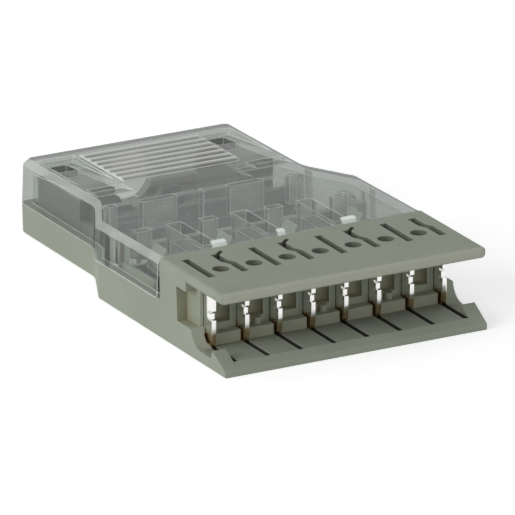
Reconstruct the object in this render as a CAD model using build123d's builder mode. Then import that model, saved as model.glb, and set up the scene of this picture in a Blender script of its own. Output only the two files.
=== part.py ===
"""Four-pair patch plug: grey housing with an open mouth, eight contacts and a clear snap-on cover.

Sizes are in millimetres. X runs along the contact row, the mouth faces -Y and +Z is up.
The origin is at the centre of the plug's footprint, on its underside.
Places along Y are given as a depth behind the front edge of the lower jaw.
"""
from build123d import *
import math
import os

# Contact row
contact_pitch = 3.81
contact_count = 8
contact_thickness = 0.5
contact_clearance = 0.05
row_margin = 1.765

# Overall body
plate_top = 8.7
plate_thickness = 1.15
plate_front = 0.45
plate_rear = 13.6
plate_nose_radius = 0.35
plate_corner_radius = 0.5
side_draft = 1.5
shoulder_length = 5.8
shoulder_inset = 2.62
shoulder_radius = 12.0
neck_radius = 4.0
cable_end_length = 17.1
corner_radius = 1.3
bottom_edge_radius = 0.15
cable_wall_top = 3.13
flap_seat = 4.2
wall_thickness = 1.2
floor_top = 1.2
spare = 2.0

# Mouth of the housing
block_front = 7.4
block_inset = 1.1
jaw_edge_height = 0.65
lead_in_depth = 1.1
step_length = 1.2
step_height = 1.2
step_slot_width = 0.9
slit_width = 0.6
slit_depth = 0.8
end_key_width = 1.5
end_key_depth = 2.65
end_key_height = 0.92
end_key_slope = 0.3
side_wall_height = 1.8
side_wall_reach = 0.3
side_curve_length = 2.1
window_length = 2.65
window_tab = 0.8
window_tab_length = 2.05
knob_radius = 0.42
knob_reach = 0.25
knob_height = 0.7

# Slots and core holes in the upper jaw plate
slot_width = 0.85
slot_margin = 0.27
slot_rear_land = 1.8
jog_front_land = 1.3
jog_length = 0.9
jog_offset = 0.45
hook_reach = 1.2
hook_width = 0.45
core_hole_radius = 0.9
core_hole_inset = 0.24

# Housing behind the plate
chamber_inset = 0.8
comb_gap = 1.8
comb_length = 6.6
comb_height = 3.8
trough_width = 1.1
trough_depth = 2.0
tooth_height = 2.2
tooth_length = 2.6
tooth_inset = 2.6
tooth_width = 1.5
inner_wall_height = 2.8
inner_wall_thickness = 1.0
inner_wall_lap = 0.4
inner_wall_inset = 0.5
fan_wall_height = 4.6
fan_wall_thickness = 0.9
tongue_thickness = 0.7
tongue_height = 1.3
tongue_sink = 1.0
cable_radius = 2.75
cable_height = 4.1
cable_rib_pitch = 2.6
cable_rib_count = 3
cable_rib_thickness = 0.8
cable_rib_half_width = 4.6

# Contacts
blade_reach = 1.8
blade_lap = 0.1
raised_foot = 0.35
raised_contacts = (3, 5, 7)
tip_height = 1.45
lance_height = 2.9
lance_length = 0.95
lance_offset = 0.16
lance_depth = 0.7
lance_gap = 0.16
blade_headroom = 0.2
body_height = 1.7
tail_height = 2.7
tail_width = 1.3
fork_half_length = 0.95
fork_height = 1.0
fork_rise = 0.55
fork_slot = 0.34
fork_slot_depth = 2.3
fork_lead = 0.4
fork_angle = 45.0
odd_fork_inset = 1.6
even_fork_inset = 4.6

# Clear cover
cover_gap = 0.1
cover_overhang = 0.5
cover_draft = 2.0
cover_top = 8.65
cover_wall = 1.0
cover_roof = 0.8
cover_edge_bevel = 0.6
roof_slope = 1.0
flap_corner_radius = 0.5
flap_step_inset = 2.8
guide_wall_gap = 0.8
guide_wall_thickness = 0.9
guide_wall_bottom = 4.4
guide_slot_width = 2.1
flap_rear_length = 3.2
rear_guide_lap = 0.5
rear_guide_half_width = 11.0
rear_guide_centres = (1.6, 8.6)
rear_guide_slot_width = 3.0
divider_width = 1.7
divider_length = 7.0
divider_height = 1.75
scoop_width = 4.1
scoop_inset = 1.1
scoop_wall = 0.6
scoop_rear_land = 2.3
scoop_length = 9.4
scoop_depth = 0.8
dent_gap = 1.6
dent_length = 2.6
dent_depth = 0.45
scoop_hole_width = 2.1
scoop_hole_length = 2.8
scoop_hole_land = 0.4
grip_half_width = 6.8
grip_rear_land = 2.9
ridge_count = 7
ridge_pitch = 1.4
ridge_base = 0.05
ridge_height = 0.3

# Across the plug, from the contact row outwards
contact_places = [(index - (contact_count - 1) / 2) * contact_pitch for index in range(contact_count)]
between_places = [place + contact_pitch / 2 for place in contact_places[:-1]]
pair_edges = [place + contact_pitch / 2 for place in contact_places[1:-1:2]]
pair_centres = [place + contact_pitch / 2 for place in contact_places[0::2]]
jaw_half_width = contact_places[-1] + row_margin
key_inner = jaw_half_width - end_key_width
block_half_width = jaw_half_width - block_inset
chamber_half_width = jaw_half_width - chamber_inset
cable_end_half_width = jaw_half_width - shoulder_inset
cable_inner_half_width = cable_end_half_width - wall_thickness
cover_half_width = jaw_half_width + cover_overhang
cover_end_half_width = cable_end_half_width + cover_gap
scoop_place = cable_end_half_width - scoop_inset - scoop_width / 2
contact_slot_width = contact_thickness + 2 * contact_clearance

# Depths, from the mouth to the cable end
cover_front = plate_rear + cover_gap
comb_front = plate_rear + wall_thickness + comb_gap
comb_rear = comb_front + comb_length
guide_wall_depth = comb_rear + guide_wall_gap
fan_wall_front = guide_wall_depth + guide_wall_thickness + cover_gap
shoulder_front = guide_wall_depth + flap_rear_length
seat_step = shoulder_front + flap_step_inset
shoulder_rear = shoulder_front + shoulder_length
rear_guide_depth = shoulder_rear - rear_guide_lap
rear_fan_wall_front = rear_guide_depth + guide_wall_thickness + cover_gap
body_length = shoulder_rear + cable_end_length
step_front = block_front - step_length
side_wall_front = block_front - side_wall_reach
side_curve_front = side_wall_front - side_curve_length
window_rear = block_front + window_length
window_tab_front = window_rear - window_tab_length
blade_front = block_front - blade_reach
blade_rear = block_front + blade_lap
slot_front = blade_front + slot_margin
slot_rear = plate_rear - slot_rear_land
jog_front = block_front + jog_front_land
jog_rear = jog_front + jog_length
odd_fork_depth = comb_rear - odd_fork_inset
even_fork_depth = comb_rear - even_fork_inset
tooth_depth = comb_rear - tooth_inset
scoop_rear = body_length - scoop_rear_land
scoop_front = scoop_rear - scoop_length
scoop_hole_rear = scoop_rear - scoop_hole_land
scoop_hole_front = scoop_hole_rear - scoop_hole_length
dent_rear = scoop_front - dent_gap
dent_front = dent_rear - dent_length
grip_rear = body_length - grip_rear_land
grip_front = grip_rear - ridge_count * ridge_pitch

# Heights
plate_underside = plate_top - plate_thickness
step_top = floor_top + step_height
knob_top = step_top + knob_height
end_key_top = floor_top + end_key_height
side_wall_top = floor_top + side_wall_height
comb_top = floor_top + comb_height
trough_floor = comb_top - trough_depth
tooth_top = comb_top + tooth_height
inner_wall_top = flap_seat + inner_wall_height
fan_wall_top = floor_top + fan_wall_height
skirt_bottom = cable_wall_top + cover_gap
divider_bottom = cover_top - cover_roof - divider_height
blade_top = plate_underside - blade_headroom
lance_bottom = floor_top + lance_height
lance_top = lance_bottom + lance_length
body_bottom = floor_top + body_height
tail_bottom = floor_top + tail_height
tail_top = tail_bottom + tail_width
fork_bottom = floor_top + fork_height
fork_top = tail_top + fork_rise


def at(depth):
    """Y place of a depth behind the front edge of the lower jaw."""
    return depth - body_length / 2


def roof(depth):
    """Height of the cover's roof at a depth: it falls towards the cable end."""
    return cover_top - (depth - cover_front) * math.tan(math.radians(roof_slope))


def plug_outline(height, wide, narrow, front, rear, corner):
    """Plan outline at one height: wide contact end, sloping shoulders, narrow cable end."""
    with BuildSketch(Plane.XY.offset(height)) as outline:
        with BuildLine():
            Polyline(
                (0, at(front)),
                (wide, at(front)),
                (wide, at(shoulder_front)),
                (narrow, at(shoulder_rear)),
                (narrow, at(rear)),
                (0, at(rear)),
                close=True,
            )
        make_face()
        side_corners = outline.vertices().filter_by_position(Axis.X, narrow, wide).sort_by(Axis.Y)
        fillet(side_corners[3], corner)
        side_corners = outline.vertices().filter_by_position(Axis.X, narrow, wide).sort_by(Axis.Y)
        fillet(side_corners[2], neck_radius)
        fillet(side_corners[1], shoulder_radius)
        mirror(about=Plane.YZ)
    return outline.sketch


def block(x_size, front, rear, bottom, top, x=0.0, mode=Mode.ADD):
    """Upright block between two depths and two heights, centred on x."""
    with BuildSketch(Plane.XY.offset(bottom)) as base:
        with Locations((x, (at(front) + at(rear)) / 2)):
            Rectangle(x_size, rear - front)
    extrude(base.sketch, amount=top - bottom, mode=mode)


def strip(points, width, bottom, top, mode=Mode.ADD):
    """Upright strip of one width that follows a path in plan."""
    with BuildSketch(Plane.XY.offset(bottom)) as plan:
        with BuildLine():
            Polyline(*points)
        trace(line_width=width)
    extrude(plan.sketch, amount=top - bottom, mode=mode)


def is_jogged(index):
    """Every second contact is jogged, so its fork stands in a row of its own."""
    return index % 2 == 1


def body_path(index, front, rear):
    """Plan path of a contact's body between two depths: straight, or with the jog."""
    place = contact_places[index]
    if not is_jogged(index):
        return [(place, at(front)), (place, at(rear))]
    back = place - jog_offset
    return [(place, at(front)), (place, at(jog_front)), (back, at(jog_rear)), (back, at(rear))]


def fork_path(index, spare=0.0):
    """Plan path of a fork, set across the wire at an angle to the row."""
    place = contact_places[index]
    depth = even_fork_depth if is_jogged(index) else odd_fork_depth
    turn = 1 if is_jogged(index) else -1
    x_reach = (fork_half_length + spare) * math.sin(math.radians(fork_angle))
    y_reach = (fork_half_length + spare) * math.cos(math.radians(fork_angle))
    return [(place - turn * x_reach, at(depth) - y_reach), (place + turn * x_reach, at(depth) + y_reach)]


def tail_path(index):
    """Plan path of a contact's tail, from its body to its fork."""
    back = body_path(index, blade_rear, slot_rear)[-1][0]
    start = at(jog_rear + wall_thickness)
    return [(back, start), (back, at(plate_rear + wall_thickness)), fork_path(index)[0]]


# Grey housing, one moulding
with BuildPart() as housing:
    # Tray that runs the whole length, with sides that lean out a little
    tray = plug_outline(0, jaw_half_width, cable_end_half_width, 0, body_length, corner_radius)
    extrude(tray, amount=flap_seat, taper=-side_draft)

    # Head that carries the upper jaw plate
    with BuildSketch(Plane.XY):
        with Locations((0, at(plate_rear / 2))):
            Rectangle(2 * jaw_half_width, plate_rear)
    extrude(amount=plate_top, taper=-side_draft)
    fillet(housing.faces().sort_by(Axis.Z)[0].edges().sort_by(Axis.Y)[1:], bottom_edge_radius)
    split(bisect_by=Plane.XZ.offset(-at(0)), keep=Keep.BOTTOM)
    split(bisect_by=Plane.XZ.offset(-at(body_length)), keep=Keep.TOP)

    # Cable end drops to the seat of the cover's skirt
    block(4 * jaw_half_width, seat_step, 2 * body_length, cable_wall_top, plate_top, mode=Mode.SUBTRACT)
    block(4 * jaw_half_width, plate_rear, 2 * body_length, flap_seat, plate_top, mode=Mode.SUBTRACT)

    # Hollow behind the contact block
    hollow = plug_outline(
        floor_top,
        chamber_half_width,
        cable_inner_half_width,
        plate_rear + wall_thickness,
        body_length - wall_thickness,
        corner_radius / 2,
    )
    extrude(hollow, amount=plate_top, mode=Mode.SUBTRACT)

    # Mouth between the jaws, from the lead-in of the lower jaw to the contact block
    with BuildSketch(Plane.YZ.offset(-key_inner)):
        with BuildLine():
            Polyline(
                (at(-spare), jaw_edge_height),
                (at(0), jaw_edge_height),
                (at(lead_in_depth), floor_top),
                (at(step_front), floor_top),
                (at(step_front), step_top),
                (at(block_front), step_top),
                (at(block_front), plate_underside),
                (at(-spare), plate_underside),
                close=True,
            )
        make_face()
    extrude(amount=2 * key_inner, mode=Mode.SUBTRACT)

    # Open sides of the mouth, with a key at each end of the lower jaw and a notch behind it
    for side in (-1, 1):
        with BuildSketch(Plane.YZ.offset(side * key_inner)):
            with BuildLine():
                Polyline(
                    (at(side_wall_front), side_wall_top),
                    (at(block_front), side_wall_top),
                    (at(block_front), plate_underside),
                    (at(-spare), plate_underside),
                    (at(-spare), jaw_edge_height),
                    (at(0), jaw_edge_height),
                    (at(end_key_depth), end_key_top),
                    (at(end_key_depth + end_key_slope), floor_top),
                    (at(side_curve_front), floor_top),
                )
                TangentArc(
                    (at(side_curve_front), floor_top), (at(side_wall_front), side_wall_top), tangent=(1, 0)
                )
            make_face()
        extrude(amount=side * 2 * end_key_width, mode=Mode.SUBTRACT)
        with BuildSketch(Plane.YZ.offset(side * block_half_width)):
            with BuildLine():
                Polyline(
                    (at(block_front - spare), side_wall_top),
                    (at(window_rear), side_wall_top),
                    (at(window_rear), plate_underside - window_tab),
                    (at(window_tab_front), plate_underside - window_tab),
                    (at(window_tab_front), plate_underside),
                    (at(block_front - spare), plate_underside),
                    close=True,
                )
            make_face()
        extrude(amount=side * 2 * end_key_width, mode=Mode.SUBTRACT)

    # Front edge of the upper jaw, cut back from the lower one and rounded
    block(4 * jaw_half_width, -spare, plate_front, plate_underside, plate_top, mode=Mode.SUBTRACT)
    nose_edges = housing.edges().filter_by(Axis.X).filter_by_position(
        Axis.Y, at(plate_front) - cover_gap, at(plate_front) + cover_gap
    )
    fillet(nose_edges, plate_nose_radius)
    plate_corners = (
        housing.edges()
        .filter_by_position(Axis.Y, at(plate_front) - cover_gap, at(plate_front) + cover_gap)
        .filter_by_position(Axis.Z, plate_underside, plate_top)
        .filter_by(Axis.X, reverse=True)
    )
    fillet(plate_corners, plate_corner_radius)

    # Round core holes through the plate, between the contacts
    with BuildSketch(Plane.XY.offset(plate_top)):
        with Locations([(place, at(block_front + core_hole_inset)) for place in between_places]):
            Circle(core_hole_radius)
    extrude(amount=-(plate_top - knob_top), mode=Mode.SUBTRACT)

    # Knobs that the cores leave between the pairs
    with BuildSketch(Plane.XY.offset(step_top)):
        with Locations([(place, at(block_front - knob_reach)) for place in pair_edges]):
            Circle(knob_radius)
    extrude(amount=knob_top - step_top)

    # Contact slots in the plate and down the block: straight, or jogged with a hook at the end
    for index, place in enumerate(contact_places):
        slot_path = body_path(index, slot_front, slot_rear)
        strip(slot_path, slot_width, plate_underside, plate_top, mode=Mode.SUBTRACT)
        strip(slot_path, contact_slot_width, floor_top, plate_top, mode=Mode.SUBTRACT)
        if is_jogged(index) and index < contact_count - 1:
            back = slot_path[-1][0]
            hook = [(back, at(slot_rear - hook_width)), (back + hook_reach, at(slot_rear + hook_reach / 2))]
            strip(hook, hook_width, plate_underside, plate_top, mode=Mode.SUBTRACT)

    # Slits that run forward in the lower jaw from each blade
    for place in contact_places:
        slit_floor = floor_top - slit_depth
        block(slit_width, lead_in_depth, block_front, slit_floor, floor_top, x=place, mode=Mode.SUBTRACT)
        block(step_slot_width, step_front, block_front, floor_top, step_top, x=place, mode=Mode.SUBTRACT)

    # Inner wall behind each flap of the cover, grooved for the cover's guide wall
    for side in (-1, 1):
        wall_x = side * (chamber_half_width - inner_wall_inset - inner_wall_thickness / 2)
        wall_front = comb_rear - inner_wall_lap
        block(inner_wall_thickness, wall_front, shoulder_front, floor_top, inner_wall_top, x=wall_x)
        block(
            2 * inner_wall_thickness,
            guide_wall_depth - cover_gap,
            fan_wall_front,
            guide_wall_bottom - cover_gap,
            plate_top,
            x=side * chamber_half_width,
            mode=Mode.SUBTRACT,
        )

    # Comb that holds the wires over the forks, with a pointed tooth in each pair
    block(2 * chamber_half_width, comb_front, comb_rear, floor_top, comb_top)
    for place in contact_places:
        block(trough_width, comb_front, comb_rear, trough_floor, comb_top, x=place, mode=Mode.SUBTRACT)
    for place in pair_centres:
        with BuildSketch(Plane.XZ.offset(-at(tooth_depth - tooth_length / 2))):
            with BuildLine():
                Polyline(
                    (place - tooth_width / 2, comb_top),
                    (place - tooth_width / 2, tooth_top - tooth_width),
                    (place, tooth_top),
                    (place + tooth_width / 2, tooth_top - tooth_width),
                    (place + tooth_width / 2, comb_top),
                    close=True,
                )
            make_face()
        extrude(amount=-tooth_length)

    # Ways for the contact tails and forks, through the back of the contact block and the comb
    for index in range(contact_count):
        fork_way = fork_path(index, spare=contact_clearance)
        tail_way = tail_path(index) + fork_way[1:]
        tail_way_top = tail_top + contact_clearance
        strip(tail_way, contact_slot_width, tail_bottom - cover_gap, tail_way_top, mode=Mode.SUBTRACT)
        strip(fork_way, contact_slot_width, fork_bottom - contact_clearance, comb_top, mode=Mode.SUBTRACT)

    # Low walls under the cover's guide walls
    block(
        2 * chamber_half_width,
        fan_wall_front,
        fan_wall_front + fan_wall_thickness,
        floor_top,
        fan_wall_top,
    )
    block(
        2 * cable_inner_half_width,
        rear_fan_wall_front,
        rear_fan_wall_front + fan_wall_thickness,
        floor_top,
        fan_wall_top,
    )

    # Tongues that locate the cover's side walls at the cable end
    for side in (-1, 1):
        block(
            tongue_thickness,
            rear_fan_wall_front + fan_wall_thickness,
            body_length - wall_thickness - spare,
            cable_wall_top - tongue_sink,
            cable_wall_top + tongue_height,
            x=side * (cable_inner_half_width - tongue_thickness / 2),
        )

    # Pads under the cover's finger scoops, each with a hole below the one in the cover
    pad_drop = cover_roof + cover_gap
    for side in (-1, 1):
        with BuildSketch(Plane.YZ.offset(side * (scoop_place - scoop_width / 2))):
            with BuildLine():
                Polyline(
                    (at(scoop_front), floor_top),
                    (at(scoop_rear), floor_top),
                    (at(scoop_rear), roof(scoop_rear) - scoop_depth - pad_drop),
                    (at(scoop_front), roof(scoop_front) - pad_drop),
                    close=True,
                )
            make_face()
        extrude(amount=side * scoop_width)
        block(
            scoop_hole_width,
            scoop_hole_front,
            scoop_hole_rear,
            floor_top,
            cover_top,
            x=side * scoop_place,
            mode=Mode.SUBTRACT,
        )

    # Cable saddle with grip ribs and the lower half of the cable entry
    for row in range(cable_rib_count):
        rib_depth = body_length - wall_thickness - (row + 1) * cable_rib_pitch
        rib_rear = rib_depth + cable_rib_thickness
        block(2 * cable_rib_half_width, rib_depth, rib_rear, floor_top, cable_wall_top)
    with BuildSketch(Plane.XZ.offset(-at(rear_fan_wall_front + 2 * fan_wall_thickness))):
        with Locations((0, cable_height)):
            Circle(cable_radius)
    extrude(amount=-body_length, mode=Mode.SUBTRACT)
housing.part.label = "housing"

# Slope of the cover's roof
roof_plane = Plane(
    origin=(0, at(cover_front), cover_top),
    x_dir=(1, 0, 0),
    z_dir=(0, math.sin(math.radians(roof_slope)), math.cos(math.radians(roof_slope))),
)

# Hollow of the cover, up to the underside of its roof
with BuildPart() as cover_hollow:
    hollow_outline = plug_outline(
        skirt_bottom,
        cover_half_width - cover_wall,
        cover_end_half_width - cover_wall,
        cover_front - 2 * spare,
        body_length - cover_wall,
        corner_radius / 2,
    )
    extrude(hollow_outline, amount=cover_top - skirt_bottom, taper=cover_draft)
    split(bisect_by=roof_plane.offset(-cover_roof), keep=Keep.BOTTOM)


def scoop(x, front, rear, depth):
    """Recess in the roof with its pan below: deepest at its rear wall, running out at its front."""
    pan_rear = rear + scoop_wall
    with BuildSketch(Plane.YZ.offset(x - scoop_width / 2 - scoop_wall)) as pan:
        with BuildLine():
            Polyline(
                (at(front), roof(front) - cover_roof / 2),
                (at(front), roof(front) - cover_roof),
                (at(rear), roof(rear) - depth - cover_roof),
                (at(pan_rear), roof(rear) - depth - cover_roof),
                (at(pan_rear), roof(pan_rear) - cover_roof / 2),
                close=True,
            )
        make_face()
    extrude(pan.sketch, amount=scoop_width + 2 * scoop_wall)
    with BuildSketch(Plane.YZ.offset(x - scoop_width / 2)) as recess:
        with BuildLine():
            Polyline(
                (at(front), roof(front)),
                (at(rear), roof(rear) - depth),
                (at(rear), 2 * cover_top),
                (at(front), 2 * cover_top),
                close=True,
            )
        make_face()
    extrude(recess.sketch, amount=scoop_width, mode=Mode.SUBTRACT)


# Clear cover, one moulding
with BuildPart() as cover:
    shell = plug_outline(
        skirt_bottom,
        cover_half_width,
        cover_end_half_width,
        cover_front - spare,
        body_length,
        corner_radius,
    )
    extrude(shell, amount=cover_top, taper=cover_draft)
    split(bisect_by=roof_plane, keep=Keep.BOTTOM)
    chamfer(cover.faces().sort_by(Axis.Z)[-1].edges(), cover_edge_bevel)
    add(cover_hollow.part, mode=Mode.SUBTRACT)

    # Front edge against the plate, and side flaps that stop above the housing's shoulder
    block(4 * cover_half_width, 0, cover_front, 0, 2 * cover_top, mode=Mode.SUBTRACT)
    block(4 * cover_half_width, 0, seat_step + cover_gap, 0, flap_seat + cover_gap, mode=Mode.SUBTRACT)
    flap_front = cover.edges().filter_by(Axis.X).group_by(Axis.Y)[0].sort_by(Axis.Z)[:2]
    fillet(flap_front, flap_corner_radius)

    # Finger scoops at the sides, with a hole through each, and a dent in front of each
    for side in (-1, 1):
        scoop(side * scoop_place, scoop_front, scoop_rear, scoop_depth)
        scoop(side * scoop_place, dent_front, dent_rear, dent_depth)
        block(
            scoop_hole_width,
            scoop_hole_front,
            scoop_hole_rear,
            floor_top,
            cover_top,
            x=side * scoop_place,
            mode=Mode.SUBTRACT,
        )

    # Finger grip: rounded ridges across the roof
    with BuildSketch(Plane.YZ.offset(-grip_half_width)):
        with BuildLine():
            valleys = [grip_front + row * ridge_pitch for row in range(ridge_count + 1)]
            for low, high in zip(valleys[:-1], valleys[1:]):
                crest = (low + high) / 2
                ThreePointArc(
                    (at(low), roof(low) + ridge_base),
                    (at(crest), roof(crest) + ridge_height),
                    (at(high), roof(high) + ridge_base),
                )
            Polyline(
                (at(grip_rear), roof(grip_rear) + ridge_base),
                (at(grip_rear), roof(grip_rear) - cover_roof / 2),
                (at(grip_front), roof(grip_front) - cover_roof / 2),
                (at(grip_front), roof(grip_front) + ridge_base),
            )
        make_face()
    extrude(amount=2 * grip_half_width)

    # Front guide wall with one slot for each wire
    block(
        2 * (cover_half_width - cover_wall / 2),
        guide_wall_depth,
        guide_wall_depth + guide_wall_thickness,
        guide_wall_bottom,
        roof(guide_wall_depth) - cover_roof / 2,
    )
    for place in contact_places:
        block(
            guide_slot_width,
            guide_wall_depth,
            guide_wall_depth + guide_wall_thickness,
            guide_wall_bottom,
            roof(fan_wall_front) - cover_roof,
            x=place,
            mode=Mode.SUBTRACT,
        )

    # Rear guide wall with one slot for each pair
    block(
        2 * rear_guide_half_width,
        rear_guide_depth,
        rear_guide_depth + guide_wall_thickness,
        guide_wall_bottom,
        roof(rear_guide_depth) - cover_roof / 2,
    )
    for centre in rear_guide_centres:
        for side in (-1, 1):
            block(
                rear_guide_slot_width,
                rear_guide_depth,
                rear_guide_depth + guide_wall_thickness,
                guide_wall_bottom,
                roof(rear_fan_wall_front) - cover_roof,
                x=side * centre,
                mode=Mode.SUBTRACT,
            )

    # Dividers between the pairs
    divider_front = guide_wall_depth - divider_length
    divider_top = roof(guide_wall_depth) - cover_roof / 2
    for place in pair_edges:
        block(divider_width, divider_front, guide_wall_depth, divider_bottom, divider_top, x=place)

    # Upper part of the cable entry
    with BuildSketch(Plane.XZ.offset(-at(body_length - 2 * wall_thickness))):
        with Locations((0, cable_height)):
            Circle(cable_radius)
    extrude(amount=-body_length, mode=Mode.SUBTRACT)
cover.part.label = "cover"


def contact(index, place):
    """One stamped and folded contact: blade, body in its slot, tail and forked wire slot."""
    foot = floor_top + (raised_foot if index + 1 in raised_contacts else 0)
    half = contact_thickness / 2
    with BuildPart() as piece:
        # Blade with a bevelled tip, standing across the mouth
        with BuildSketch(Plane.YZ.offset(place - half)):
            with BuildLine():
                Polyline(
                    (at(blade_front), foot + tip_height),
                    (at(blade_front + lance_gap), foot),
                    (at(blade_rear), foot),
                    (at(blade_rear), body_bottom),
                    (at(jog_front), body_bottom),
                    (at(jog_front), blade_top),
                    (at(blade_front), blade_top),
                    close=True,
                )
            make_face()
        extrude(amount=contact_thickness)
        # Lanced zone of the blade, pushed sideways out of its plane
        lance_rear = blade_front + lance_depth
        sheet = 2 * contact_thickness
        block(sheet, blade_front, lance_rear, lance_bottom, lance_top, x=place, mode=Mode.SUBTRACT)
        block(
            contact_thickness,
            blade_front,
            lance_rear,
            lance_bottom + lance_gap,
            lance_top - lance_gap,
            x=place - lance_offset,
        )
        # Body in its slot, then the tail that leads back to the fork
        body_rear = slot_rear - lance_gap
        strip(body_path(index, blade_rear, body_rear), contact_thickness, body_bottom, blade_top)
        strip(tail_path(index) + fork_path(index)[1:], contact_thickness, tail_bottom, tail_top)
        # Fork with its wire slot and lead-in
        start, end = fork_path(index)
        x_run = end[0] - start[0]
        y_run = end[1] - start[1]
        middle = (start[0] + x_run / 2, start[1] + y_run / 2, 0)
        fork_plane = Plane(origin=middle, x_dir=(x_run, y_run, 0), z_dir=(y_run, -x_run, 0))
        with BuildSketch(fork_plane):
            with BuildLine():
                Polyline(
                    (-fork_half_length, fork_bottom),
                    (fork_half_length, fork_bottom),
                    (fork_half_length, fork_top),
                    (fork_lead, fork_top),
                    (fork_slot / 2, fork_top - fork_lead),
                    (fork_slot / 2, fork_top - fork_slot_depth),
                    (-fork_slot / 2, fork_top - fork_slot_depth),
                    (-fork_slot / 2, fork_top - fork_lead),
                    (-fork_lead, fork_top),
                    (-fork_half_length, fork_top),
                    close=True,
                )
            make_face()
        extrude(amount=half, both=True)
    piece.part.label = f"contact_{index + 1}"
    return piece.part


os.makedirs("parts", exist_ok=True)
export_step(housing.part, "parts/housing.step")
export_step(cover.part, "parts/cover.step")
for index, place in enumerate(contact_places):
    export_step(contact(index, place), f"parts/contact_{index + 1}.step")
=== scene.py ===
"""Looks of the patch plug: grey moulding, plated contacts and a clear cover, in a pale studio."""
import math
from functools import reduce
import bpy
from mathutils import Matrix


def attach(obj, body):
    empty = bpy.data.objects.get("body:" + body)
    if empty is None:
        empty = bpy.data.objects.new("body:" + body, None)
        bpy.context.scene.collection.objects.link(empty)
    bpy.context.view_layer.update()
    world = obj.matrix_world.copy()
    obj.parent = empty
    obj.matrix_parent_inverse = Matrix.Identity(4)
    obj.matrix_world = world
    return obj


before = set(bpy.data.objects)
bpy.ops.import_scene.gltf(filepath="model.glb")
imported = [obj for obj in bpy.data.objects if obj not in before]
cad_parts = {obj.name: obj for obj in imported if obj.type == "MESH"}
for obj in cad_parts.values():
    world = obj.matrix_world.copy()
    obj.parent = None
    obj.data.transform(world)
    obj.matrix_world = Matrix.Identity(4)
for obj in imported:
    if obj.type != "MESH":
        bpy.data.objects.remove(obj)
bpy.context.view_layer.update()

from types import SimpleNamespace

import bmesh
import bpy
from mathutils import Vector

MM = 0.001

# Camera, from the fit of the plug's corners to the photograph
CAMERA_PLACE = (-452.48 * MM, -832.49 * MM, 337.46 * MM)
CAMERA_TARGET = (-0.498 * MM, -5.05 * MM, 4.204 * MM)
CAMERA_LENS = 683.21
CAMERA_CLIP = (0.01, 20.0)
SENSOR_WIDTH = 36.0

# Studio, in metres and degrees. Each lamp has a name, azimuth, elevation, distance, size and the
# light that it gives to a white surface facing it
LAMPS = (
    ("key", -82.0, 24.0, 0.7, 0.45, 0.56),
    ("top", -20.0, 75.0, 0.8, 0.60, 0.05),
    ("front", 12.0, 10.0, 0.8, 0.50, 0.15),
    ("rim", -165.0, 30.0, 0.7, 0.12, 0.08),
)
WORLD_LIGHT = 0.36
WHITE = (1.0, 1.0, 1.0)
FLOOR = (0.90, 0.90, 0.90)
FLOOR_ROUGHNESS = 0.9
FLOOR_SPECULAR = 0.1
FLOOR_LIFT = 0.45
FLOOR_HALF = 3.0

# Grey moulding. Colours are linear light, and from here on places and lengths are millimetres on
# the plug's axes
MOULDING = (0.288, 0.320, 0.256)
MOULDING_FLOW = (0.262, 0.291, 0.231)
# Painted highlight on edges
MOULDING_EDGE_HIGHLIGHT = (0.360, 0.392, 0.322)
# Painted shade in crevices, olive
MOULDING_CREVICE_SHADE = (0.300, 0.285, 0.185)
# Painted highlight on the jaw plate's nose
MOULDING_NOSE_HIGHLIGHT = (0.385, 0.400, 0.325)
# Painted shade in the plate's slots and holes
MOULDING_SLOT_SHADE = (0.150, 0.160, 0.122)
# Darkest painted shade, in the slits and in the plate's shadow on the jaw floor
MOULDING_DEEP_SHADE = (0.050, 0.050, 0.044)
# Painted shade in the cable chamber
MOULDING_CHAMBER_SHADE = (0.115, 0.130, 0.100)
MOULDING_IOR = 1.42
MOULDING_ROUGHNESS = (0.62, 0.74)
MOULDING_ROUNDING = 0.12

# Zones of painted light and shade on the moulding: colour, limits along X, Y and Z, and the rim over
# which each fades
MOULDING_ZONES = (
    # Painted highlight on the nose of the jaw plate
    (MOULDING_NOSE_HIGHLIGHT, ((-14.9, 14.9), (-24.7, -24.3), (7.75, 8.9)), 0.15),
    # Painted shade in the contact slots and core holes of that plate
    (MOULDING_SLOT_SHADE, ((-13.9, 13.9), (-19.6, -12.1), (7.6, 8.66)), 0.02),
    # Painted shade in the slits of the lower jaw
    (MOULDING_DEEP_SHADE, ((-14.5, 14.5), (-23.85, -17.7), (0.3, 1.14)), 0.02),
    # Painted shade in the cable chamber, which gets little light
    (MOULDING_CHAMBER_SHADE, ((-11.5, 11.5), (0.9, 22.6), (1.1, 6.5)), 0.1),
)

# Floor of the lower jaw with its rim, where the plate's painted shadow on it begins and is full along
# Y, and the share of that painted shadow
JAW_FLOOR = (((-14.6, 14.6), (-24.0, -17.7), (1.16, 1.24)), 0.02)
JAW_SHADE_Y = (-21.6, -18.9)
JAW_SHADE = 0.45

# Clear plastic: refracted light, gloss, and tints of what is seen straight through it. The darker tints
# are painted shade
CLEAR = (0.80, 0.825, 0.815)
CLEAR_IOR = 1.45
CLEAR_ROUGHNESS = (0.0, 0.05)
CLEAR_ROUNDING = 0.22
REFRACTED_SHARE = 0.04
CLEAR_GLOSS = (0.57, 0.58, 0.58)
CLEAR_GLOSS_IOR = 1.42
CLEAR_GLOSS_ROUGHNESS = 0.08
CLEAR_STRAIGHT = (0.885, 0.91, 0.895)
# Painted shade on the far faces and far bevels
CLEAR_FAR_SHADE = (0.70, 0.72, 0.70)
CLEAR_FAR_BEVEL_SHADE = (0.34, 0.36, 0.33)
# Painted shade seen through the rear roof
CLEAR_REAR_SHADE = (0.72, 0.74, 0.72)
# Painted shade on the cheeks of the guide walls' slots
CLEAR_CHEEK_SHADE = (0.42, 0.44, 0.40)
# Painted shade seen through the grip's ridges
CLEAR_GRIP_SHADE = (0.36, 0.37, 0.35)
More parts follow.
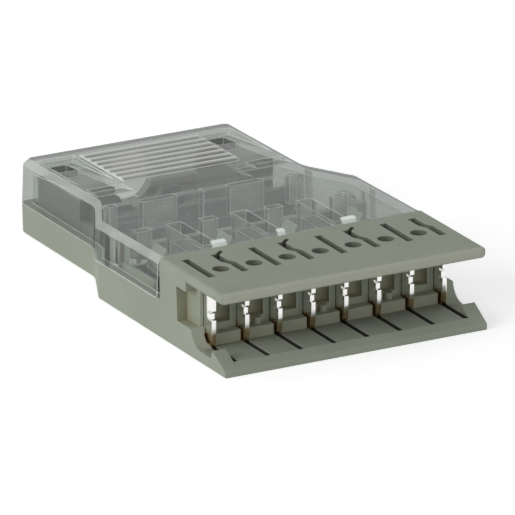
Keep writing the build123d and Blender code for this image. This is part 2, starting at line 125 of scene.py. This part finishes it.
# Painted shade in the scoops' holes
CLEAR_HOLE_SHADE = (0.22, 0.23, 0.20)
CLEAR_SHADOW = (0.88, 0.90, 0.89)

# Haze in the clear plastic: its colours, and its share of all light from place to place. Near-white
# haze on edges and on the ridges' crests is a painted highlight, and haze on bevels turned to the left
# is partly painted light
HAZE = (0.66, 0.68, 0.65)
# Painted highlight on edges and ridge crests
EDGE_HIGHLIGHT = (0.97, 0.98, 0.96)
CLOUD_HAZE = (0.0245, 0.0455)
EDGE_HIGHLIGHT_HAZE = 0.85
# Haze on left-facing bevels, partly painted light
BEVEL_LIGHT_HAZE = 0.44
REAR_HAZE = 0.13
WALL_HAZE = 0.33
# Painted highlight on the ridges' crests; valleys get less haze and look darker
RIDGE_HIGHLIGHT_HAZE = 0.62
VALLEY_HAZE = 0.20
STREAK_HAZE = 0.24

# Places on the cover. A pair says where a zone begins and where it is full, and limits come with
# the rim over which a zone fades outside them. The scoops' holes are on both sides of the middle
FAR_SIDE_X = (9.9, 10.0)
FAR_END_Y = (24.2, 24.3)
REAR_ROOF_Y = (8.6, 9.2)
REAR_ROOF_Z = (7.2, 7.3)
GUIDE_WALLS_Y = ((-1.15, -0.05, 0.02), (7.35, 8.45, 0.02))
GUIDE_TOP_Z = (7.7, 7.5)
GRIP = (((-6.8, 6.8), (12.3, 22.2)), 0.1)
GRIP_Z = (7.95, 8.0)
SCOOP_HOLES = (((8.27, 10.39), (19.54, 22.36)), 0.01)
STREAKS_Y = (-11.4, 7.2, 0.3)

# Ways that a face of the cover is turned, as parts of its outward normal, likewise
FACING_FAR = (0.25, 0.35)
FACING_LEFT = (-0.30, -0.45)
FACING_UP = (0.90, 0.95)
FACING_DOWN = (-0.85, -0.95)
FACING_SIDEWAYS = (0.85, 0.95)
RIDGE_CREST = (-0.50, -0.12)
BEVEL_RISE = (0.55, 0.86, 0.05)

# Plated contacts: tin, a gold flash low on the blade and darker tails, both with where they begin
# and where they are full
TIN = (0.90, 0.89, 0.87)
GOLD = (0.58, 0.41, 0.26)
GOLD_Z = (2.9, 2.4)
TAIL = (0.36, 0.36, 0.34)
TAIL_Y = (-11.6, -11.0)
CONTACT_ROUGHNESS = (0.12, 0.20)
CONTACT_ROUNDING = 0.09

# Barbs under the cover's roof beside the dividers: profile along Y and Z, and the place and half
# width of each along X. Their near-white metal is a painted glint
WIRE_STOP_PROFILE = ((-8.05, 7.95), (-8.45, 7.30), (-7.80, 7.30), (-7.50, 7.95))
WIRE_STOPS = ((-6.6, 0.85), (0.6, 0.45), (8.5, 0.85))
WIRE_STOP_ROUNDING = 0.08
GLINT_SOFT = (0.90, 0.92, 0.91)
GLINT_BRIGHT = (0.98, 0.99, 0.98)
GLINT_METAL = 0.85
GLINT_ROUGHNESS = (0.08, 0.2)

# Patterns of noise, whose scale counts to the metre. Ripples are squeezed along Y
FLOW_MARKS = {"Scale": 160.0, "Detail": 3.0}
GRAIN = {"Scale": 9000.0, "Detail": 2.0, "Roughness": 0.6}
CLOUDS = {"Scale": 420.0, "Detail": 3.0}
RIPPLES = {"Scale": 480.0, "Detail": 2.0, "Distortion": 1.6}
RIPPLE_SQUEEZE = (1.0, 2.4, 1.0)
DRAWN_STREAKS = {"Scale": 1400.0, "Detail": 2.0}
GLINT_CLOUDS = {"Scale": 900.0, "Detail": 2.0}

# Levels of a noise between which its effect rises
NOISE_LEVELS = (0.3, 0.7)
CLOUD_HAZE_LEVELS = (0.35, 0.7)
CLOUD_ROUGHNESS_LEVELS = (0.35, 0.75)
RIPPLE_LEVELS = (0.53, 0.68)

# Bumps: strength and height
MOULDING_BUMP = (0.2, 0.02)
CLEAR_BUMP = (0.25, 0.03)
CONTACT_BUMP = (0.03, 0.02)

# Edges are where a rounded normal leaves the true one, and crevices where little is open. Edges get
# painted highlights and crevices painted shade
EDGE_RADIUS = 0.18
EDGE_MATCH = (0.995, 0.85)
ROUNDING_SAMPLES = 6
CREVICE_REACH = 3.2
CREVICE_LEVELS = (0.25, 0.85)
CREVICE_SAMPLES = 8


class Graph:
    """Node tree of a material or of the world, with short ways to build on it."""

    def __init__(self, tree):
        self.nodes = tree.nodes
        self.links = tree.links

    def fill(self, node, inputs):
        """Links or sets sockets of a node, which are given by name or number."""
        for key, value in inputs.items():
            socket = node.inputs[key]
            if isinstance(value, bpy.types.NodeSocket):
                self.links.new(value, socket)
            elif socket.type == "RGBA":
                socket.default_value = (*value, 1.0)
            else:
                socket.default_value = value

    def add(self, kind, inputs, **settings):
        """A new node with its settings made and its sockets filled."""
        node = self.nodes.new(kind)
        for name, value in settings.items():
            setattr(node, name, value)
        self.fill(node, inputs)
        return node

    def step(self, operation, *values):
        """One step of arithmetic with one value or two, each a socket or a number."""
        inputs = dict(enumerate(values))
        return self.add("ShaderNodeMath", inputs, operation=operation).outputs["Value"]

    def product(self, *values):
        """Product of sockets and numbers."""
        return reduce(lambda first, second: self.step("MULTIPLY", first, second), values)

    def highest(self, *values):
        """The highest of several sockets."""
        return reduce(lambda first, second: self.step("MAXIMUM", first, second), values)

    def ramp(self, source, start, end, low=0.0, high=1.0):
        """Maps a socket from one range to another, and stays level outside it."""
        limits = {"From Min": start, "From Max": end, "To Min": low, "To Max": high}
        return self.add("ShaderNodeMapRange", {"Value": source, **limits}).outputs["Result"]

    def between(self, source, low, high, rim):
        """One where a socket's value lies between two limits, fading over a short rim."""
        rise = self.ramp(source, low - rim, low)
        fall = self.ramp(source, high, high + rim, 1.0, 0.0)
        return self.product(rise, fall)

    def inside(self, axes, limits, rim):
        """One inside limits along several axes, fading over a short rim."""
        return self.product(*(self.between(axis, *pair, rim) for axis, pair in zip(axes, limits)))

    def blend(self, factor, low, high):
        """Blend of two colours, each fixed or from a socket."""
        inputs = {"Factor": factor, "A": low, "B": high}
        return self.add("ShaderNodeMix", inputs, data_type="RGBA").outputs["Result"]

    def blend_shaders(self, factor, low, high):
        """Blend of two shaders."""
        return self.add("ShaderNodeMixShader", {0: factor, 1: low, 2: high}).outputs["Shader"]

    def split(self, vector):
        """X, Y and Z of a vector socket."""
        parts = self.add("ShaderNodeSeparateXYZ", {"Vector": vector})
        return [parts.outputs[axis] for axis in "XYZ"]

    def place(self):
        """Place of the shaded point, which stays fixed to the object."""
        return self.add("ShaderNodeTexCoord", {}).outputs["Object"]

    def axes(self):
        """X, Y and Z of the shaded point, in millimetres."""
        inputs = {"Vector": self.place(), "Scale": 1 / MM}
        return self.split(self.add("ShaderNodeVectorMath", inputs, operation="SCALE").outputs["Vector"])

    def noise(self, pattern):
        """Noise that stays fixed to the object."""
        return self.add("ShaderNodeTexNoise", {"Vector": self.place(), **pattern}).outputs["Fac"]

    def squeezed_noise(self, pattern, squeeze):
        """Noise that stays fixed to the object and is squeezed along its axes."""
        place = self.add("ShaderNodeMapping", {"Vector": self.place(), "Scale": squeeze})
        inputs = {"Vector": place.outputs["Vector"], **pattern}
        return self.add("ShaderNodeTexNoise", inputs).outputs["Fac"]

    def rounded(self, radius):
        """Normal that turns softly over edges."""
        bevel = self.add("ShaderNodeBevel", {"Radius": radius * MM}, samples=ROUNDING_SAMPLES)
        return bevel.outputs["Normal"]

    def bumped(self, radius, pattern, strength, height):
        """Rounded normal with a fine bump on top."""
        inputs = {
            "Strength": strength,
            "Distance": height * MM,
            "Height": pattern,
            "Normal": self.rounded(radius),
        }
        return self.add("ShaderNodeBump", inputs).outputs["Normal"]

    def edge(self):
        """One on edges and zero on open faces."""
        true_normal = self.add("ShaderNodeNewGeometry", {}).outputs["Normal"]
        inputs = {0: self.rounded(EDGE_RADIUS), 1: true_normal}
        match = self.add("ShaderNodeVectorMath", inputs, operation="DOT_PRODUCT")
        return self.ramp(match.outputs["Value"], *EDGE_MATCH)

    def openness(self):
        """Zero in crevices and one in the open."""
        shade = self.add(
            "ShaderNodeAmbientOcclusion",
            {"Distance": CREVICE_REACH * MM},
            samples=CREVICE_SAMPLES,
            only_local=True,
        )
        return self.ramp(shade.outputs["AO"], *CREVICE_LEVELS)


def new_material(name):
    """A material with its graph and its main shader."""
    material = bpy.data.materials.new(name)
    material.use_nodes = True
    graph = Graph(material.node_tree)
    return material, graph, graph.nodes["Principled BSDF"]


def moulding_material():
    """Grey-green plastic: fine grain, flow marks, painted highlights on edges and on the jaw plate's
    nose, and painted shade in olive crevices, dark slots, slits, the cable chamber and on the jaw
    floor.
    """
    material, graph, shader = new_material("moulding")
    flow = graph.ramp(graph.noise(FLOW_MARKS), *NOISE_LEVELS)
    tone = graph.blend(flow, MOULDING_FLOW, MOULDING)
    # Painted highlight on edges, where the rounded normal turns
    tone = graph.blend(graph.edge(), tone, MOULDING_EDGE_HIGHLIGHT)
    # Painted shade in crevices, where little is open
    tone = graph.blend(graph.openness(), MOULDING_CREVICE_SHADE, tone)
    axes = graph.axes()
    # Painted shadow of the plate on the floor of the lower jaw
    shade = graph.ramp(axes[1], *JAW_SHADE_Y, 0.0, JAW_SHADE)
    tone = graph.blend(graph.product(shade, graph.inside(axes, *JAW_FLOOR)), tone, MOULDING_DEEP_SHADE)
    # Painted light and shade, zone by zone
    for color, limits, rim in MOULDING_ZONES:
        tone = graph.blend(graph.inside(axes, limits, rim), tone, color)
    grain = graph.noise(GRAIN)
    inputs = {
        "Base Color": tone,
        "Roughness": graph.ramp(grain, *NOISE_LEVELS, *MOULDING_ROUGHNESS),
        "IOR": MOULDING_IOR,
        "Normal": graph.bumped(MOULDING_ROUNDING, grain, *MOULDING_BUMP),
    }
    graph.fill(shader, inputs)
    return material


def clear_zones(graph):
    """Masks over the cover, by where a point lies and which way its face is turned."""
    # The true normal points back along the ray, so it is turned round on a face met from inside
    geometry = graph.add("ShaderNodeNewGeometry", {})
    outside = graph.ramp(geometry.outputs["Backfacing"], 0.0, 1.0, 1.0, 0.0)
    side = graph.ramp(geometry.outputs["Backfacing"], 0.0, 1.0, 1.0, -1.0)
    turns = graph.split(geometry.outputs["True Normal"])
    turn_x, turn_y, turn_z = (graph.product(turn, side) for turn in turns)
    sideways = graph.step("ABSOLUTE", turn_x)
    bevel = graph.between(turn_z, *BEVEL_RISE)
    x, y, z = graph.axes()
    far = graph.highest(
        graph.product(graph.ramp(turn_x, *FACING_FAR), graph.ramp(x, *FAR_SIDE_X)),
        graph.product(graph.ramp(turn_y, *FACING_FAR), graph.ramp(y, *FAR_END_Y)),
    )
    rear_roof = graph.product(graph.ramp(y, *REAR_ROOF_Y), graph.ramp(z, *REAR_ROOF_Z))
    guides = graph.highest(*(graph.between(y, *wall) for wall in GUIDE_WALLS_Y))
    guides = graph.product(guides, graph.ramp(z, *GUIDE_TOP_Z))
    return SimpleNamespace(
        outside=outside,
        far=far,
        far_bevel=graph.product(far, bevel),
        left_bevel=graph.product(bevel, graph.ramp(turn_x, *FACING_LEFT)),
        rear_roof=graph.product(rear_roof, graph.ramp(turn_z, *FACING_UP), outside),
        ceiling=graph.product(graph.ramp(turn_z, *FACING_DOWN), graph.between(y, *STREAKS_Y)),
        walls=graph.product(guides, graph.ramp(sideways, *FACING_SIDEWAYS, 1.0, 0.0)),
        cheeks=graph.product(guides, graph.ramp(sideways, *FACING_SIDEWAYS)),
        grip=graph.product(graph.inside((x, y), *GRIP), graph.ramp(z, *GRIP_Z)),
        crests=graph.ramp(turn_y, *RIDGE_CREST),
        holes=graph.inside((graph.step("ABSOLUTE", x), y), *SCOOP_HOLES),
    )


def clear_tint(graph, zones):
    """Colour of what is seen straight through the cover, darkened as painted shade on far faces and
    bevels, slot cheeks, the grip, the scoops' holes and the rear roof.
    """
    # Painted shade on faces turned away, on the far side and end
    tint = graph.blend(zones.far, CLEAR_STRAIGHT, CLEAR_FAR_SHADE)
    # Painted shade, zone by zone
    for zone, color in (
        (zones.far_bevel, CLEAR_FAR_BEVEL_SHADE),
        (zones.rear_roof, CLEAR_REAR_SHADE),
        (zones.cheeks, CLEAR_CHEEK_SHADE),
        (zones.grip, CLEAR_GRIP_SHADE),
        (zones.holes, CLEAR_HOLE_SHADE),
    ):
        tint = graph.blend(zone, tint, color)
    return tint


def clear_haze(graph, zones, clouds):
    """Share and colour of the haze, which is lightest on edges and on the crests of the ridges, as
    painted highlights.
    """
    edge = graph.edge()
    ripples = graph.squeezed_noise(RIPPLES, RIPPLE_SQUEEZE)
    # Painted highlights on edges and crests; haze on left bevels is partly painted light
    share = graph.highest(
        graph.ramp(clouds, *CLOUD_HAZE_LEVELS, *CLOUD_HAZE),
        graph.product(edge, EDGE_HIGHLIGHT_HAZE),
        graph.product(zones.left_bevel, BEVEL_LIGHT_HAZE),
        graph.product(zones.grip, graph.ramp(zones.crests, 0.0, 1.0, VALLEY_HAZE, RIDGE_HIGHLIGHT_HAZE)),
        graph.product(zones.rear_roof, REAR_HAZE),
        graph.product(zones.walls, WALL_HAZE),
        graph.product(zones.ceiling, graph.ramp(ripples, *RIPPLE_LEVELS, 0.0, STREAK_HAZE)),
    )
    # Painted highlight: near-white haze on edges and ridge crests
    painted_highlight = graph.highest(edge, graph.product(zones.grip, zones.crests))
    return share, graph.blend(painted_highlight, HAZE, EDGE_HIGHLIGHT)


def clear_material():
    """Clear moulded plastic: mostly a straight view, some refraction, haze, and gloss outside."""
    material, graph, shader = new_material("clear")
    clouds = graph.noise(CLOUDS)
    inputs = {
        "Base Color": CLEAR,
        "Transmission Weight": 1.0,
        "IOR": CLEAR_IOR,
        "Roughness": graph.ramp(clouds, *CLOUD_ROUGHNESS_LEVELS, *CLEAR_ROUGHNESS),
        "Normal": graph.bumped(CLEAR_ROUNDING, clouds, *CLEAR_BUMP),
    }
    graph.fill(shader, inputs)
    zones = clear_zones(graph)
    straight = graph.add("ShaderNodeBsdfTransparent", {"Color": clear_tint(graph, zones)})
    normal = graph.rounded(CLEAR_ROUNDING)
    inputs = {"Color": CLEAR_GLOSS, "Roughness": CLEAR_GLOSS_ROUGHNESS, "Normal": normal}
    gloss = graph.add("ShaderNodeBsdfGlossy", inputs)
    fresnel = graph.add("ShaderNodeFresnel", {"IOR": CLEAR_GLOSS_IOR, "Normal": normal})
    shine = graph.product(fresnel.outputs["Fac"], zones.outside)
    surface = graph.blend_shaders(shine, straight.outputs["BSDF"], gloss.outputs["BSDF"])
    surface = graph.blend_shaders(REFRACTED_SHARE, surface, shader.outputs["BSDF"])
    haze_share, haze_color = clear_haze(graph, zones, clouds)
    haze = graph.add("ShaderNodeBsdfDiffuse", {"Color": haze_color})
    surface = graph.blend_shaders(haze_share, surface, haze.outputs["BSDF"])
    shadow = graph.add("ShaderNodeBsdfTransparent", {"Color": CLEAR_SHADOW})
    path = graph.add("ShaderNodeLightPath", {})
    surface = graph.blend_shaders(path.outputs["Is Shadow Ray"], surface, shadow.outputs["BSDF"])
    graph.fill(graph.nodes["Material Output"], {"Surface": surface})
    return material


def contact_material():
    """Plated strip: tin, a gold flash on the lower part of the blade, darker tails, fine streaks."""
    material, graph, shader = new_material("contact_metal")
    _, y, z = graph.axes()
    plating = graph.blend(graph.ramp(z, *GOLD_Z), TIN, GOLD)
    streaks = graph.noise(DRAWN_STREAKS)
    inputs = {
        "Base Color": graph.blend(graph.ramp(y, *TAIL_Y), plating, TAIL),
        "Metallic": 1.0,
        "Roughness": graph.ramp(streaks, *NOISE_LEVELS, *CONTACT_ROUGHNESS),
        "Normal": graph.bumped(CONTACT_ROUNDING, streaks, *CONTACT_BUMP),
    }
    graph.fill(shader, inputs)
    return material


def glint_material():
    """Near-white metal that stands in for a glint of the clear plastic: a painted highlight."""
    material, graph, shader = new_material("glint")
    clouds = graph.noise(GLINT_CLOUDS)
    inputs = {
        "Base Color": graph.blend(clouds, GLINT_SOFT, GLINT_BRIGHT),
        "Metallic": GLINT_METAL,
        "Roughness": graph.ramp(clouds, *NOISE_LEVELS, *GLINT_ROUGHNESS),
    }
    graph.fill(shader, inputs)
    return material


def seen_rays(graph):
    """One for the rays that show the studio: direct view, gloss and refraction."""
    path = graph.add("ShaderNodeLightPath", {})
    direct = graph.ramp(path.outputs["Transparent Depth"], 0.0, 1.0, 1.0, 0.0)
    return graph.highest(
        graph.product(path.outputs["Is Camera Ray"], direct),
        path.outputs["Is Glossy Ray"],
        path.outputs["Is Transmission Ray"],
    )


def floor_material():
    """White sweep that keeps the shadow and otherwise shows as plain white."""
    material, graph, shader = new_material("floor")
    inputs = {
        "Base Color": FLOOR,
        "Roughness": FLOOR_ROUGHNESS,
        "Specular IOR Level": FLOOR_SPECULAR,
        "Emission Color": WHITE,
        "Emission Strength": graph.product(seen_rays(graph), FLOOR_LIFT),
    }
    graph.fill(shader, inputs)
    return material


def dress(node, material):
    """Gives a CAD node its finished material."""
    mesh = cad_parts[node].data
    mesh.materials.clear()
    mesh.materials.append(material)


def add_wire_stop(name, x, half, material):
    """Small barb under the cover's roof beside a divider, with a sloping front facet."""
    count = len(WIRE_STOP_PROFILE)
    places = [(x + side * half, y, z) for side in (-1, 1) for y, z in WIRE_STOP_PROFILE]
    faces = [tuple(range(count)), tuple(reversed(range(count, 2 * count)))]
    faces += [(i, i + count, (i + 1) % count + count, (i + 1) % count) for i in range(count)]
    mesh = bpy.data.meshes.new(name)
    mesh.from_pydata([tuple(value * MM for value in place) for place in places], [], faces)
    shape = bmesh.new()
    shape.from_mesh(mesh)
    bmesh.ops.recalc_face_normals(shape, faces=shape.faces)
    bmesh.ops.bevel(
        shape,
        geom=list(shape.edges),
        offset=WIRE_STOP_ROUNDING * MM,
        segments=2,
        affect="EDGES",
        clamp_overlap=True,
    )
    shape.to_mesh(mesh)
    shape.free()
    mesh.materials.append(material)
    piece = bpy.data.objects.new(name, mesh)
    bpy.context.collection.objects.link(piece)
    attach(piece, "cover_body")


def add_camera():
    """Camera at the photograph's viewing angle."""
    data = bpy.data.cameras.new("camera")
    data.lens = CAMERA_LENS
    data.sensor_width = SENSOR_WIDTH
    data.clip_start, data.clip_end = CAMERA_CLIP
    camera = bpy.data.objects.new("camera", data)
    camera.location = CAMERA_PLACE
    direction = Vector(CAMERA_TARGET) - Vector(CAMERA_PLACE)
    camera.rotation_euler = direction.to_track_quat("-Z", "Y").to_euler()
    bpy.context.collection.objects.link(camera)
    bpy.context.scene.camera = camera


def add_lamp(name, azimuth, elevation, distance, size, share):
    """Area lamp aimed at the plug; share is the light that it gives to a white surface facing it."""
    data = bpy.data.lights.new(name, "AREA")
    data.shape = "DISK"
    data.size = size
    data.energy = share * math.pi**2 * distance**2
    lamp = bpy.data.objects.new(name, data)
    turn, rise = math.radians(azimuth), math.radians(elevation)
    away = Vector(
        (math.sin(turn) * math.cos(rise), -math.cos(turn) * math.cos(rise), math.sin(rise))
    )
    lamp.location = away * distance
    lamp.rotation_euler = (-away).to_track_quat("-Z", "Y").to_euler()
    bpy.context.collection.objects.link(lamp)


def add_world():
    """Even studio light, white where the camera, gloss and clear plastic look at it."""
    world = bpy.data.worlds.new("studio")
    bpy.context.scene.world = world
    world.use_nodes = True
    graph = Graph(world.node_tree)
    level = graph.ramp(seen_rays(graph), 0.0, 1.0, WORLD_LIGHT, 1.0)
    graph.fill(graph.nodes["Background"], {"Color": WHITE, "Strength": level})


def add_floor():
    """Wide flat floor under the plug."""
    signs = ((-1, -1), (1, -1), (1, 1), (-1, 1))
    mesh = bpy.data.meshes.new("floor")
    mesh.from_pydata([(x * FLOOR_HALF, y * FLOOR_HALF, 0.0) for x, y in signs], [], [(0, 1, 2, 3)])
    mesh.materials.append(floor_material())
    floor = bpy.data.objects.new("floor", mesh)
    bpy.context.collection.objects.link(floor)


dress("housing", moulding_material())
dress("cover", clear_material())
contact_metal = contact_material()
for node in sorted(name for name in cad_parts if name.startswith("contact_")):
    dress(node, contact_metal)

# Barbs that carry painted glints
glint = glint_material()
for number, (x, half) in enumerate(WIRE_STOPS, start=1):
    add_wire_stop(f"wire_stop_{number}", x, half, glint)

add_camera()
add_world()
add_floor()
for lamp in LAMPS:
    add_lamp(*lamp)

bpy.context.scene.view_settings.view_transform = "Standard"
